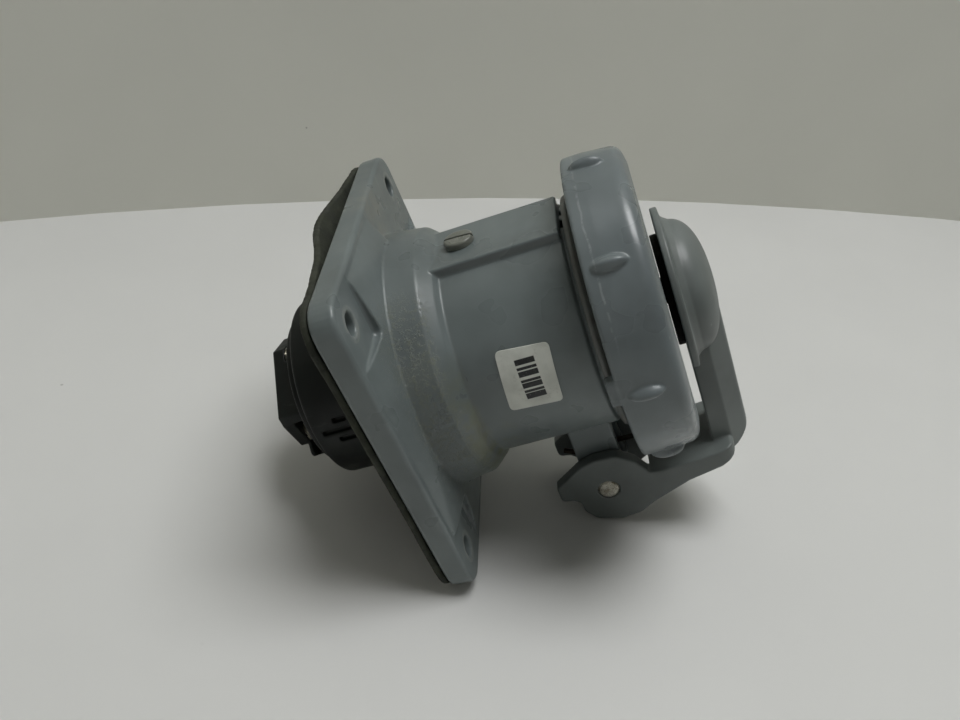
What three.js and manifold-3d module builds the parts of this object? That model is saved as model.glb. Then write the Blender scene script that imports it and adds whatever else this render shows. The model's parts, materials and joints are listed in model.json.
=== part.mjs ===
// Pin-and-sleeve power inlet: a cast housing with a square mounting flange, three contact pins held in a
// two-piece insulator, and a ribbed screw cap carried on a sprung arm that hinges below the mouth.
//
// Millimetres, +Z up. Everything is built with the flange's back face in the plane Y = 0 and the mouth
// facing -Y; a length named "out" runs forward from that plane, so it is at Y = -out. At the end the whole
// object is moved so that the origin is the middle of its bounding box. Angles round the mouth's axis are
// in degrees from +X towards +Z.

import * as THREE from 'three';
import { mergeVertices } from 'three/addons/utils/BufferGeometryUtils.js';
import Module from 'manifold-3d';

const wasm = await Module();
wasm.setup();

// ---------------------------------------------------------------------------------- driving dimensions

const ROUND = 40;                // facets round a large turned piece
const SMALL = 16;                // facets round a small one
const ARC = 2;                   // steps along a rounded corner
const REACH = 200;               // longer than anything here, for cuts that run right through

const FLANGE = { half: 50.8, corner: 9, thick: 7.5, edge: 1.6, holeAt: 41.3, holeRadius: 3.1 };
const PAD = { inner: 30.5, corner: 6 };
const TOP_FLAT = { side: 5.4, foot: 4.8, rise: 47 };
const BOSS = { half: 48.5, corner: 12, foot: 7.3, top: 40.2, out: 10.4 };
const RING = { radius: 38.5, back: 11, front: 24.2 };
const BODY = { radius: 33.3, end: 60, boreRadius: 28.3 };
const MOUTH = { radius: 29.5, back: 36, front: 72 };
const COLLAR = { root: 35.2, crest: 36.5, back: 61.6, pitch: 3.2, threads: 3 };
const RAIL = { half: 11.6, top: 34, back: 21, keyHalf: 5, keyTop: 31.4 };
const RAIL_SCREW = { out: 31.2, headRadius: 4.4, headHeight: 2, radius: 2.4, tip: 24.5 };
const HINGE = { out: 48.4, z: -59.1, pinRadius: 3.5, running: 0.06 };
const LUG = { inner: 4.6, outer: 9, half: 6.9, eye: 7.6, web: 3, webLow: -45 };
const CAP = { back: 64.2, front: 82, radius: 45, bore: 40.2, thread: 38.7, floor: 75.8 };
const RIB = { count: 8, back: 66.2, front: 76, half: 2.6, height: 1.9 };
const SEAL = { inner: 27.5, outer: 38, back: 72.4, front: 75.5 };
const STUD = { radius: 4, headRadius: 9, headBack: 88, headFront: 90.4, rivetRadius: 8 };
const ARM = { half: 13.5, slot: 9.4, back: 84.3, shoulder: 90.3, crest: 96.2, barHalf: 7.6, corner: 5 };
const DOME = { rim: 24, rimFront: 86.3, waist: 20.2, waistOut: 88.6, crown: 96.5, cupRadius: 16, roof: 92 };
const RETAINER = { boss: 16.6, bossBack: 82.2 };
const EAR = { radius: 13.4, tailOut: 32.4, tailTop: -53.8, tailLow: -59.8 };
const GASKET = { half: 50.2, thick: 2.2, opening: 33, gap: 0.3 };
const INSULATOR = { radius: 28, rim: 31, rimFront: 4, split: 14.6, face: 35.6, neck: 24, neckBack: -28.2 };
const POLES = [205, 325, 85];    // where the contacts stand round the axis
const BLOCK = { back: -37.5, near: 19.2, middle: 18.6, far: 17.6 };
const LOBE = { turns: [237, 357], half: 8.5, top: 20, back: -34.8 };
const NOTCH = { apex: 7, before: 43, after: 27, back: -33.6 };
const GROOVES = [[-36, -17.5, -13.5], [-29, -22, -13], [-22, -18, -12]];   // turn from the pole, back, front
const GROOVE = { half: 0.8, floor: 26.5 };
const CONTACT = { circle: 12.8, radius: 3, tip: 66, barrelRadius: 3.8, barrelBack: -36.5, barrelFront: -24 };
const WIRE_HOLE = { radius: 2, deep: 11 };
const TIE = { at: 20.5, radius: 2, headRadius: 3.6, headHeight: 2.2, tip: -12 };
const LABEL = { back: 34.6, front: 49.4, low: -3.6, high: 14.3, lift: 0.1, thick: 0.25, tilt: 4 };
const SPRING = { wire: 0.9, coil: 5.6, half: 3.3, turns: 3 };
const SPRING_LEGS = { rear: 15.5, rearTurn: 62, front: 16.6, frontTurn: 90 };
const TERMINAL = {
  out: -31, radius: 1.3, headRadius: 2, headHeight: 1.5, tip: 0.6, top: 4.3, slot: 0.7, seat: 2.75,
};

// ------------------------------------------------------------------------------------------- materials

const paint = (color) => new THREE.MeshStandardMaterial({ color, roughness: 0.45, metalness: 0.1 });
const castPaint = paint(0x666d70);
const armPaint = paint(0x696f70);
const phenolic = new THREE.MeshStandardMaterial({ color: 0x1b201f, roughness: 0.5, metalness: 0 });
const cork = new THREE.MeshStandardMaterial({ color: 0x2c2a22, roughness: 0.9, metalness: 0 });
const neoprene = new THREE.MeshStandardMaterial({ color: 0x161616, roughness: 0.8, metalness: 0 });
const brass = new THREE.MeshStandardMaterial({ color: 0xb08d4a, roughness: 0.35, metalness: 0.9 });
const plated = new THREE.MeshStandardMaterial({ color: 0xb9b9b2, roughness: 0.35, metalness: 0.9 });
const springSteel = new THREE.MeshStandardMaterial({ color: 0x3a3835, roughness: 0.5, metalness: 0.8 });
const paperWhite = new THREE.MeshStandardMaterial({ color: 0xd8dad4, roughness: 0.6, metalness: 0 });

// --------------------------------------------------------------------------------- geometry and solids

/** A closed outline whose corners are [u, v, fillet]; the fillet is 0 where it is left out. */
function outline(corners) {
  const at = corners.map(([u, v]) => new THREE.Vector2(u, v));
  const shape = new THREE.Shape();
  corners.forEach(([, , fillet = 0], i) => {
    const corner = at[i];
    const towards = (other) => other.clone().sub(corner).normalize();
    const before = towards(at[(i + at.length - 1) % at.length]);
    const after = towards(at[(i + 1) % at.length]);
    const half = Math.acos(THREE.MathUtils.clamp(before.dot(after), -1, 1)) / 2;
    const cut = fillet / Math.tan(half);
    const start = corner.clone().addScaledVector(before, cut);
    const end = corner.clone().addScaledVector(after, cut);
    if (i === 0) shape.moveTo(start.x, start.y);
    else shape.lineTo(start.x, start.y);
    if (fillet > 0) shape.quadraticCurveTo(corner.x, corner.y, end.x, end.y);
  });
  shape.closePath();
  return shape;
}

const rectangle = (u0, u1, v0, v1, fillet = 0) =>
  outline([[u0, v0, fillet], [u1, v0, fillet], [u1, v1, fillet], [u0, v1, fillet]]);

/** Turns a closed three.js geometry into a manifold solid. */
function solid(geometry) {
  const bare = geometry.clone();
  bare.deleteAttribute('normal');
  bare.deleteAttribute('uv');
  const merged = mergeVertices(bare, 1e-4);
  const corners = merged.index.array;
  const kept = [];
  for (let i = 0; i < corners.length; i += 3) {
    const [a, b, c] = [corners[i], corners[i + 1], corners[i + 2]];
    if (a !== b && b !== c && c !== a) kept.push(a, b, c);
  }
  return new wasm.Manifold(new wasm.Mesh({
    numProp: 3,
    vertProperties: new Float32Array(merged.attributes.position.array),
    triVerts: new Uint32Array(kept),
  }));
}

const union = (...solids) => solids.reduce((whole, next) => whole.add(next));
const without = (whole, ...cuts) => cuts.reduce((rest, cut) => rest.subtract(cut), whole);

/** A solid turned about the Y axis from [radius, out, fillet] corners. */
function turned(corners, facets = ROUND) {
  const profile = outline(corners.map(([r, out, fillet]) => [r, -out, fillet])).getPoints(ARC);
  if (THREE.ShapeUtils.area(profile) < 0) profile.reverse();
  if (!profile[0].equals(profile[profile.length - 1])) profile.push(profile[0].clone());
  return solid(new THREE.LatheGeometry(profile, facets));
}

/** A plain round bar along Y, between two distances out. */
const bar = (radius, from, to, facets = SMALL) =>
  turned([[0, from], [radius, from], [radius, to], [0, to]], facets);

/** Extrudes an (x, z) outline forward, between two distances out, with its edges eased at both ends. */
function forward(shape, from, to, edge = 0) {
  const geometry = new THREE.ExtrudeGeometry(shape, {
    depth: to - from - 2 * edge,
    curveSegments: ARC * 2,
    bevelEnabled: edge > 0,
    bevelThickness: edge,
    bevelSize: edge,
    bevelOffset: -edge,
    bevelSegments: 2,
  });
  geometry.translate(0, 0, from + edge);
  const right = new THREE.Vector3(1, 0, 0);
  const up = new THREE.Vector3(0, 0, 1);
  const front = new THREE.Vector3(0, -1, 0);
  return solid(geometry.applyMatrix4(new THREE.Matrix4().makeBasis(right, up, front)));
}

/** Extrudes an (out, z) outline sideways, between two values of X, with its edges eased at both ends. */
function sideways(shape, low, high, edge = 0) {
  const geometry = new THREE.ExtrudeGeometry(shape, {
    depth: high - low - 2 * edge,
    curveSegments: ARC * 2,
    bevelEnabled: edge > 0,
    bevelThickness: edge,
    bevelSize: edge,
    bevelOffset: -edge,
    bevelSegments: 1,
  });
  geometry.translate(0, 0, edge - high);
  const front = new THREE.Vector3(0, -1, 0);
  const up = new THREE.Vector3(0, 0, 1);
  const left = new THREE.Vector3(-1, 0, 0);
  return solid(geometry.applyMatrix4(new THREE.Matrix4().makeBasis(front, up, left)));
}

/** Extrudes an (x, -y) outline upwards, between two heights. */
function upwards(shape, low, high) {
  const geometry = new THREE.ExtrudeGeometry(shape, {
    depth: high - low,
    curveSegments: ARC * 2,
    bevelEnabled: false,
  });
  geometry.translate(0, 0, low);
  return solid(geometry);
}

/** A round bar along X, centred on (out, z). */
function crossBar(radius, low, high, out, z, facets = SMALL) {
  const geometry = new THREE.CylinderGeometry(radius, radius, high - low, facets);
  geometry.rotateZ(Math.PI / 2);
  geometry.translate((low + high) / 2, -out, z);
  return solid(geometry);
}

/** A round bar along Z, centred on the rail screw's axis. */
function uprightBar(radius, low, high, out) {
  const geometry = new THREE.CylinderGeometry(radius, radius, high - low, SMALL);
  geometry.rotateX(Math.PI / 2);
  geometry.translate(0, -out, (low + high) / 2);
  return solid(geometry);
}

/** A named mesh from a manifold solid. */
function piece(name, made, material) {
  const { vertProperties, triVerts } = made.getMesh();
  const geometry = new THREE.BufferGeometry();
  geometry.setAttribute('position', new THREE.BufferAttribute(new Float32Array(vertProperties), 3));
  geometry.setIndex(new THREE.BufferAttribute(new Uint32Array(triVerts), 1));
  geometry.computeVertexNormals();
  const mesh = new THREE.Mesh(geometry, material);
  mesh.name = name;
  return mesh;
}

/** The four places [x, z] at a distance from the axis along both X and Z. */
const corners4 = (at) => [[1, 1], [-1, 1], [-1, -1], [1, -1]].map(([sx, sz]) => [sx * at, sz * at]);

/** The point [x, z] at an angle round the axis and a distance from it. */
const polar = (angle, radius) => {
  const turn = THREE.MathUtils.degToRad(angle);
  return [radius * Math.cos(turn), radius * Math.sin(turn)];
};

/** Turns a solid made with its outer side towards +Z to an angle round the axis. */
const towards = (made, angle) => made.rotate([0, 90 - angle, 0]);

/** A solid made round the axis, once for each contact. */
const atPoles = (made) => POLES.map((angle) => {
  const [x, z] = polar(angle, CONTACT.circle);
  return made.translate([x, 0, z]);
});

// --------------------------------------------------------------------------------------------- housing

/** The plate, its eased front rim and the low boss that climbs from a rounded square to the ring. */
function flange() {
  const { half, corner, thick, edge } = FLANGE;
  const square = rectangle(-half, half, -half, half, corner);
  const plate = union(forward(square, 0, thick - edge), forward(square, edge / 2, thick, edge));
  const foot = forward(rectangle(-BOSS.half, BOSS.half, -BOSS.half, BOSS.half, BOSS.corner), 1, BOSS.foot);
  return union(plate, wasm.Manifold.hull([foot, bar(BOSS.top, 1, BOSS.out, ROUND)]));
}

/** Flat seats level with the plate round the four bolt holes, where the boss would foul a bolt head. */
function boltPads() {
  const { inner, corner } = PAD;
  const far = FLANGE.half + 10;
  return corners4(1).map(([sx, sz]) => {
    const square = rectangle(inner, far, inner, far, corner);
    const placed = forward(square, FLANGE.thick, RING.front);
    return placed.scale([sx, 1, sz]);
  });
}

/** The wide flat at the top of the flange, which leaves only the neck standing beside one bolt hole. */
function topFlat() {
  const far = FLANGE.half + 10;
  const { side, foot, rise } = TOP_FLAT;
  const wedge = outline([
    [side - 1, far], [side, rise, 2], [foot, 30], [PAD.inner, 20], [far, 32], [far, far],
  ]);
  return without(forward(wedge, FLANGE.thick, RING.front), bar(RING.radius + 1.4, 0, REACH, ROUND));
}

/** Ring, barrel and the threaded collar at the mouth, as one turned shape. */
function barrel() {
  const { root, crest, back, pitch, threads } = COLLAR;
  const thread = [];
  for (let turn = 0; turn < threads; turn += 1) {
    const start = back + 0.8 + turn * pitch;
    thread.push([root, start], [crest, start + pitch * 0.3], [crest, start + pitch * 0.45]);
    thread.push([root, start + pitch * 0.75]);
  }
  return turned([
    [0, 2], [RING.radius + 1.1, 2], [RING.radius + 1.1, RING.back, 0.8], [RING.radius, RING.back + 1.6, 1],
    [RING.radius - 0.2, 19.4, 2.2], [BODY.radius + 1.9, RING.front - 1.2, 1.2],
    [BODY.radius, RING.front, 0.5], [BODY.radius, BODY.end, 1.3], [BODY.radius - 2, BODY.end + 0.2, 0.3],
    [BODY.radius - 2, back - 0.4], [root - 0.6, back], ...thread,
    [root, MOUTH.front - 1.2], [root - 1.2, MOUTH.front], [0, MOUTH.front],
  ]);
}

/** One of the two lugs that carry the hinge pin under the barrel. */
function hingeLug(side) {
  const { out, z } = HINGE;
  const root = -BODY.radius + 3;
  const shape = outline([
    [out - LUG.half, root], [out + LUG.half, root], [out + LUG.half, z + 9, 3],
    [out + LUG.eye, z, 3], [out + LUG.eye, z - LUG.eye, 6.2], [out - LUG.eye, z - LUG.eye, 6.2],
    [out - LUG.eye, z, 3], [out - LUG.half, z + 9, 3],
  ].reverse());
  const low = side > 0 ? LUG.inner : -LUG.outer;
  return sideways(shape, low, low + LUG.outer - LUG.inner, 0.4);
}

function housing() {
  const { half, top, back, keyHalf, keyTop } = RAIL;
  const rail = sideways(
    rectangle(back, BODY.end, BODY.radius - 8, top), -half, half, 0.5);
  const webBack = HINGE.out - LUG.half;
  const webSide = rectangle(webBack, webBack + LUG.web, LUG.webLow, -BODY.radius + 3);
  const lugWeb = sideways(webSide, -LUG.inner - 1, LUG.inner + 1);
  const body = union(flange(), barrel(), rail, hingeLug(1), hingeLug(-1), lugWeb);
  const keyway = sideways(rectangle(MOUTH.back, REACH, 20, keyTop), -keyHalf, keyHalf);
  const bolts = corners4(FLANGE.holeAt).map(
    ([x, z]) => bar(FLANGE.holeRadius, -5, REACH, SMALL).translate([x, 0, z]));
  return without(
    body,
    ...boltPads(),
    topFlat(),
    ...bolts,
    bar(BODY.boreRadius, -5, REACH, ROUND),
    bar(INSULATOR.rim + 0.3, -5, INSULATOR.rimFront + 0.3, ROUND),
    bar(MOUTH.radius, MOUTH.back, REACH, ROUND),
    keyway,
    uprightBar(RAIL_SCREW.radius + 0.1, 20, REACH, RAIL_SCREW.out),
    crossBar(HINGE.pinRadius + 0.02, -REACH, REACH, HINGE.out, HINGE.z),
  );
}

// ------------------------------------------------------------------------------- gasket and insulators

function flangeGasket() {
  const { half, thick, opening, gap } = GASKET;
  const sheet = forward(rectangle(-half, half, -half, half, FLANGE.corner), -gap - thick, -gap);
  const bolts = corners4(FLANGE.holeAt).map(
    ([x, z]) => bar(FLANGE.holeRadius + 0.4, -10, 5, SMALL).translate([x, 0, z]));
  return without(sheet, bar(opening, -10, 5, ROUND), ...bolts);
}

/** The three-cornered block at the very back, cut away beside each contact so that its screw can be reached. */
function terminalBlock() {
  const { back, near, middle, far } = BLOCK;
  const corners = POLES.flatMap((pole) => [
    [...polar(pole - 41, near), 0.6], [...polar(pole - 30, middle), 0.6], [...polar(pole + 5, far), 0.6],
  ]);
  const front = INSULATOR.neckBack + 0.2;
  const lobe = forward(rectangle(-LOBE.half, LOBE.half, 8, LOBE.top, 2), LOBE.back, front);
  const notches = POLES.map((pole) => {
    const { apex, before, after } = NOTCH;
    const wedge = outline([polar(pole, apex), polar(pole - before, 60), polar(pole + after, 60)]);
    return forward(wedge, NOTCH.back, INSULATOR.neckBack);
  });
  const block = union(
    forward(outline(corners), back, front), ...LOBE.turns.map((turn) => towards(lobe, turn)));
  return without(block, ...notches);
}

/** The rear moulding: a grooved barrel, its stepped neck and the terminal block. */
function rearInsulator() {
  const { radius, rim, rimFront, split, neck, neckBack } = INSULATOR;
  const drum = turned([
    [0, neckBack], [neck, neckBack, 0.6], [neck, -25], [radius, -25, 1], [radius, 0],
    [rim, 0], [rim, rimFront], [radius, rimFront], [radius, split], [0, split],
  ]);
  const grooves = POLES.flatMap((pole) => GROOVES.map(([turn, back, front]) => towards(
    forward(rectangle(-GROOVE.half, GROOVE.half, GROOVE.floor, REACH), back, front), pole + turn)));
  const shafts = [
    ...atPoles(bar(CONTACT.radius + 0.1, -REACH, REACH)),
    ...atPoles(bar(CONTACT.barrelRadius + 0.1, -REACH, CONTACT.barrelFront + 0.3)),
  ];
  const ties = [-TIE.at, TIE.at].map(
    (x) => bar(TIE.radius + 0.1, TIE.tip - 0.5, REACH).translate([x, 0, 0]));
  return without(union(drum, terminalBlock()), ...grooves, ...shafts, ...ties);
}

/** The front moulding, the face seen round the pins when the cap is open. */
function frontInsulator() {
  const { radius, split, face } = INSULATOR;
  const disc = turned([[0, split + 0.2], [radius, split + 0.2], [radius, face, 1.2], [0, face]], 48);
  const recess = turned([[6, face - 3], [6, face + 5], [0, face + 5], [0, face - 3]], 32);
  const shafts = [
    ...atPoles(bar(CONTACT.radius + 0.1, 0, REACH)),
    ...atPoles(bar(CONTACT.barrelRadius + 0.2, 0, split + 3.2)),
  ];
  const ties = [-TIE.at, TIE.at].flatMap((x) => [
    bar(TIE.radius + 0.1, 0, REACH, 16).translate([x, 0, 0]),
    bar(TIE.headRadius + 0.2, face - TIE.headHeight - 0.4, REACH, 16).translate([x, 0, 0]),
  ]);
  const keyScrew = uprightBar(RAIL_SCREW.radius + 0.1, 24, REACH, RAIL_SCREW.out);
  return without(disc, recess, ...shafts, ...ties, keyScrew);
}

/** A contact: terminal barrel behind, locating collar in the middle, bare pin in front. */
function contactPin() {
  const { radius, tip, barrelRadius, barrelBack, barrelFront } = CONTACT;
  const collar = INSULATOR.split + 0.3;
  const pin = turned([
    [0, barrelBack], [barrelRadius, barrelBack, 0.5], [barrelRadius, barrelFront], [radius, barrelFront],
    [radius, collar], [barrelRadius, collar], [barrelRadius, collar + 2.6], [radius, collar + 2.6],
    [radius, tip, 2], [0, tip],
  ], SMALL);
  const wireHole = bar(WIRE_HOLE.radius, barrelBack - 1, barrelBack + WIRE_HOLE.deep);
  return without(pin, wireHole, terminalBore(), screwSeat());
}

/** The cross hole that a terminal screw runs in, square to the barrel. */
const terminalBore = () => crossBar(TERMINAL.radius + 0.05, 0, REACH, TERMINAL.out, 0, 12);

/** The flat milled on the barrel for the terminal screw's head. */
const screwSeat = () => crossBar(TERMINAL.headRadius + 0.1, TERMINAL.seat, REACH, TERMINAL.out, 0);

/** A slotted cheese-head screw along Y, its head facing forward, tip and top given as distances out. */
function slottedScrew(radius, headRadius, headHeight, tip, top, slot, facets = 16) {
  const neck = top - headHeight;
  const blank = turned([
    [0, tip], [radius - 0.4, tip], [radius, tip + 0.6], [radius, neck], [headRadius, neck],
    [headRadius, top, headHeight * 0.4], [0, top],
  ], facets);
  const cut = forward(rectangle(-REACH, REACH, -slot / 2, slot / 2), top - headHeight * 0.55, REACH);
  return without(blank, cut);
}

// ---------------------------------------------------------------------------------------- cap and seal

/** The ribbed screw cap: a thick rounded cup, flat in front. */
function screwCap() {
  const { back, front, radius, bore, thread, floor } = CAP;
  const shell = turned([
    [0, front], [38.4, front, 2],
    [radius - 0.9, front - 1.2, 4.2], [radius, back + 6, 2], [radius, back, 1.2], [bore, back, 0.8],
    [bore, back + 1.6], [thread, back + 2.4], [thread, back + 3.2], [bore, back + 4],
    [bore, back + 5], [thread, back + 5.8], [thread, back + 6.6], [bore, back + 7.4],
    [bore, floor, 1], [26, floor, 1], [24, floor + 2.4, 1], [0, floor + 2.4],
  ]);
  const ribs = [];
  for (let i = 0; i < RIB.count; i += 1) {
    ribs.push(gripRib().rotate([0, (360 / RIB.count) * i, 0]));
  }
  return without(union(shell, ...ribs, indexLug()), bar(STUD.radius + 0.1, 0, REACH));
}

/** A half-round grip rib at the top of the skirt, with rounded ends. */
function gripRib() {
  const { back, front, half, height } = RIB;
  const long = (front - back) / 2;
  const geometry = new THREE.SphereGeometry(1, 12, 8);
  geometry.scale(half, long, height + 1);
  geometry.translate(0, -(back + front) / 2, CAP.radius - 1);
  return solid(geometry);
}

/** The small lug on the cap's back lip that marks where its thread starts. */
function indexLug() {
  const tab = rectangle(-4, 4, CAP.radius - 4.4, CAP.radius - 0.4, 1.4);
  return forward(tab, CAP.back - 2.4, CAP.back + 3, 0.5).rotate([0, -88, 0]);
}

const capSeal = () => turned([
  [SEAL.inner, SEAL.back], [SEAL.outer, SEAL.back], [SEAL.outer, SEAL.front], [SEAL.inner, SEAL.front],
], 48);

/** The swivel stud: riveted inside the cap, headed inside the arm's dome. */
function capStud() {
  const { radius, headRadius, headBack, headFront, rivetRadius } = STUD;
  const inside = CAP.floor + 2.4;
  return turned([
    [0, inside - 2.6], [rivetRadius, inside - 2.6, 1.6], [rivetRadius, inside - 0.3],
    [radius, inside - 0.3], [radius, headBack], [headRadius, headBack], [headRadius, headFront, 1],
    [0, headFront],
  ], SMALL);
}

// ------------------------------------------------------------------------------------------------- arm

/** Side view of the lower arm: round ear, tail behind it, and the limb that runs out to the elbow. */
function lowerArmShape() {
  const { out, z } = HINGE;
  const { radius, tailOut, tailTop, tailLow } = EAR;
  const { shoulder } = ARM;
  return outline([
    [tailOut, tailTop, 1.6], [out - 6.6, z + 11.8, 4], [out - 1.4, z + radius, 4],
    [out + 5.6, z + radius - 0.2, 5], [out + 11.1, z + 8.9, 2], [out + 14.2, z + 3.5, 1.5],
    [66, -56.3, 2], [84, -54.5, 2], [shoulder, -53.4, 1.6], [shoulder, -57.4, 3.4], [85.2, -60.7, 3],
    [74, -63.4, 3], [62, -68.6, 4], [out + 7.6, z - radius + 0.3, 5], [out + 1.1, z - radius - 0.7, 5],
    [out - 6.9, z - 11.5, 4], [out - 10, z - 7.4, 3], [out - 10.2, z - 3.1, 2], [out - 12.2, z - 1.5, 1.5],
    [tailOut, tailLow, 1.8],
  ].reverse());
}

/** The upright limb between elbow and dome: flat at the back, crowned in front. */
function upright() {
  const { back, shoulder, crest, barHalf } = ARM;
  const side = outline([
    [back, -54], [back, 6], [crest, 6], [crest, -59.4, 8], [back + 1, -59.4, 2],
  ].reverse());
  const plan = outline([
    [-barHalf, back, 0.6], [barHalf, back, 0.6], [barHalf, shoulder, 0.8], [2.6, crest, 2.4],
    [-2.6, crest, 2.4], [-barHalf, shoulder, 0.8],
  ].map(([x, out, fillet]) => [x, -out, fillet]).reverse());
  return sideways(side, -barHalf, barHalf).intersect(upwards(plan, -70, 10));
}

/** The bell-shaped dome at the arm's end, flared out to the rim it stands on. */
function dome() {
  const { rim, rimFront, waist, waistOut, crown } = DOME;
  const profile = new THREE.Path();
  profile.moveTo(0, -ARM.back);
  profile.lineTo(rim - 0.4, -ARM.back);
  profile.lineTo(rim, -ARM.back - 0.4);
  profile.lineTo(rim, -rimFront + 0.5);
  profile.lineTo(rim - 0.5, -rimFront);
  profile.quadraticCurveTo(waist + 0.6, -rimFront - 0.4, waist, -waistOut);
  profile.bezierCurveTo(waist - 1.4, -crown + 2.8, waist - 8, -crown, 0, -crown);
  profile.lineTo(0, -ARM.back);
  const points = profile.getPoints(6);
  if (THREE.ShapeUtils.area(points) < 0) points.reverse();
  return solid(new THREE.LatheGeometry(points, 48));
}

function coverArm() {
  const { half, slot, back, shoulder, corner } = ARM;
  const plan = upwards(outline([
    [-half, 0], [half, 0], [half, -shoulder, corner], [-half, -shoulder, corner],
  ]), -REACH, 0);
  const lower = sideways(lowerArmShape(), -half, half, 0.8).intersect(plan);
  const fork = sideways(
    rectangle(0, HINGE.out + EAR.radius + 1.2, -REACH, 0, 1), -slot, slot);
  const cup = bar(DOME.cupRadius, back - 5, DOME.roof, 48);
  const pinHole = crossBar(HINGE.pinRadius + HINGE.running, -REACH, REACH, HINGE.out, HINGE.z, 32);
  return without(union(without(lower, fork), upright(), dome()), cup, pinHole);
}

/** The stepped plate staked into the back of the dome, which keeps the stud's head in and faces the cap. */
function studRetainer() {
  const { boss, bossBack } = RETAINER;
  const inside = DOME.cupRadius - 0.1;
  return turned([
    [STUD.radius + 0.08, bossBack], [boss, bossBack, 0.4], [boss, ARM.back - 0.1],
    [inside, ARM.back - 0.1], [inside, ARM.back + 2.4], [STUD.radius + 0.08, ARM.back + 2.4],
  ], 48);
}

const studWasher = () => turned([
  [STUD.radius + 0.1, ARM.back + 2.6], [11.5, ARM.back + 2.6], [11.5, STUD.headBack - 0.2],
  [STUD.radius + 0.1, STUD.headBack - 0.2],
], 32);

const hingePin = () => {
  const reach = ARM.half - 0.1;
  const round = outline([
    [0, -reach], [HINGE.pinRadius - 0.4, -reach], [HINGE.pinRadius, -reach + 0.4],
    [HINGE.pinRadius, reach - 0.4], [HINGE.pinRadius - 0.4, reach], [0, reach],
  ]).getPoints();
  const geometry = new THREE.LatheGeometry(round, SMALL);
  geometry.rotateZ(Math.PI / 2);
  geometry.translate(0, -HINGE.out, HINGE.z);
  return solid(geometry);
};

/** The wire of the torsion spring: a coil round the pin, with one leg on the housing and one on the arm. */
class SpringPath extends THREE.Curve {
  getPoint(t, target = new THREE.Vector3()) {
    const { coil, half, turns } = SPRING;
    const { rear, rearTurn, front, frontTurn } = SPRING_LEGS;
    const sweep = THREE.MathUtils.degToRad(360 * turns + rearTurn - frontTurn);
    const wound = sweep * coil;
    const along = t * (rear + wound + front) - rear;
    const onCoil = THREE.MathUtils.clamp(along, 0, wound);
    const onLeg = along - onCoil;
    const turn = THREE.MathUtils.degToRad(rearTurn) - onCoil / coil;
    return target.set(
      THREE.MathUtils.lerp(-half, half, onCoil / wound),
      -(HINGE.out + coil * Math.cos(turn) + onLeg * Math.sin(turn)),
      HINGE.z + coil * Math.sin(turn) - onLeg * Math.cos(turn),
    );
  }
}

function hingeSpring() {
  const circle = new THREE.Shape();
  circle.absarc(0, 0, SPRING.wire, 0, 2 * Math.PI);
  return solid(new THREE.ExtrudeGeometry(circle, {
    steps: 84,
    curveSegments: 3,
    extrudePath: new SpringPath(),
  }));
}

// --------------------------------------------------------------------------------------- small details

/** The blank sticker on the side of the barrel, cut from a thin tube. */
function label() {
  const { back, front, low, high, lift, thick, tilt } = LABEL;
  const inner = BODY.radius + lift;
  const tube = turned([[inner, 30], [inner + thick, 30], [inner + thick, 55], [inner, 55]]);
  const patch = sideways(rectangle(
    -(front - back) / 2, (front - back) / 2, -(high - low) / 2, (high - low) / 2, 1.6), -REACH, 0);
  const placed = patch.rotate([tilt, 0, 0]).translate([0, -(front + back) / 2, (high + low) / 2]);
  return tube.intersect(placed);
}

/** The painted slotted screw through the rail, which holds the insulator in the barrel. */
function railScrew() {
  const { out, headRadius, headHeight, radius, tip } = RAIL_SCREW;
  const top = RAIL.top + 0.1 + headHeight;
  const screw = slottedScrew(radius, headRadius, headHeight, tip, top, 1.3);
  return screw.rotate([-90, 0, 0]).rotate([0, 0, 84]).translate([0, -out, 0]);
}

// ------------------------------------------------------------------------------------------ the object

const group = new THREE.Group();

const fixed = new THREE.Group();
fixed.add(
  piece('housing', housing(), castPaint),
  piece('flange_gasket', flangeGasket(), cork),
  piece('rear_insulator', rearInsulator(), phenolic),
  piece('front_insulator', frontInsulator(), phenolic),
  piece('rail_screw', railScrew(), castPaint),
  piece('hinge_pin', hingePin(), plated),
  piece('hinge_spring', hingeSpring(), springSteel),
  piece('label', label(), paperWhite),
);

POLES.forEach((pole, i) => {
  const [x, z] = polar(pole, CONTACT.circle);
  const contact = new THREE.Group();
  contact.position.set(x, 0, z);
  contact.rotation.y = -THREE.MathUtils.degToRad(pole);
  const { radius, headRadius, headHeight, tip, top, slot, out } = TERMINAL;
  const screw = slottedScrew(radius, headRadius, headHeight, tip, top, slot).rotate([0, 0, 90]);
  contact.add(
    piece(`contact_pin_${i + 1}`, contactPin(), brass),
    piece(`terminal_screw_${i + 1}`, screw.translate([0, -out, 0]), plated),
  );
  fixed.add(contact);
});

[-1, 1].forEach((side, i) => {
  const { radius, headRadius, headHeight, tip } = TIE;
  const screw = slottedScrew(radius, headRadius, headHeight, tip, INSULATOR.face - 0.3, 0.9);
  const tie = piece(`insulator_screw_${i + 1}`, screw, plated);
  tie.position.x = side * TIE.at;
  fixed.add(tie);
});

const arm = new THREE.Group();
arm.add(
  piece('cover_arm', coverArm(), armPaint),
  piece('stud_retainer', studRetainer(), plated),
);

const cap = new THREE.Group();
cap.add(
  piece('screw_cap', screwCap(), castPaint),
  piece('cap_seal', capSeal(), neoprene),
  piece('cap_stud', capStud(), plated),
  piece('stud_washer', studWasher(), plated),
);
arm.add(cap);

group.add(fixed, arm);

const middle = new THREE.Box3().setFromObject(group, true).getCenter(new THREE.Vector3());
group.position.sub(middle);

export default group;
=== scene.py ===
import json
import math

import bmesh
import bpy
from mathutils import Matrix, Vector, noise
from mathutils.bvhtree import BVHTree

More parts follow.
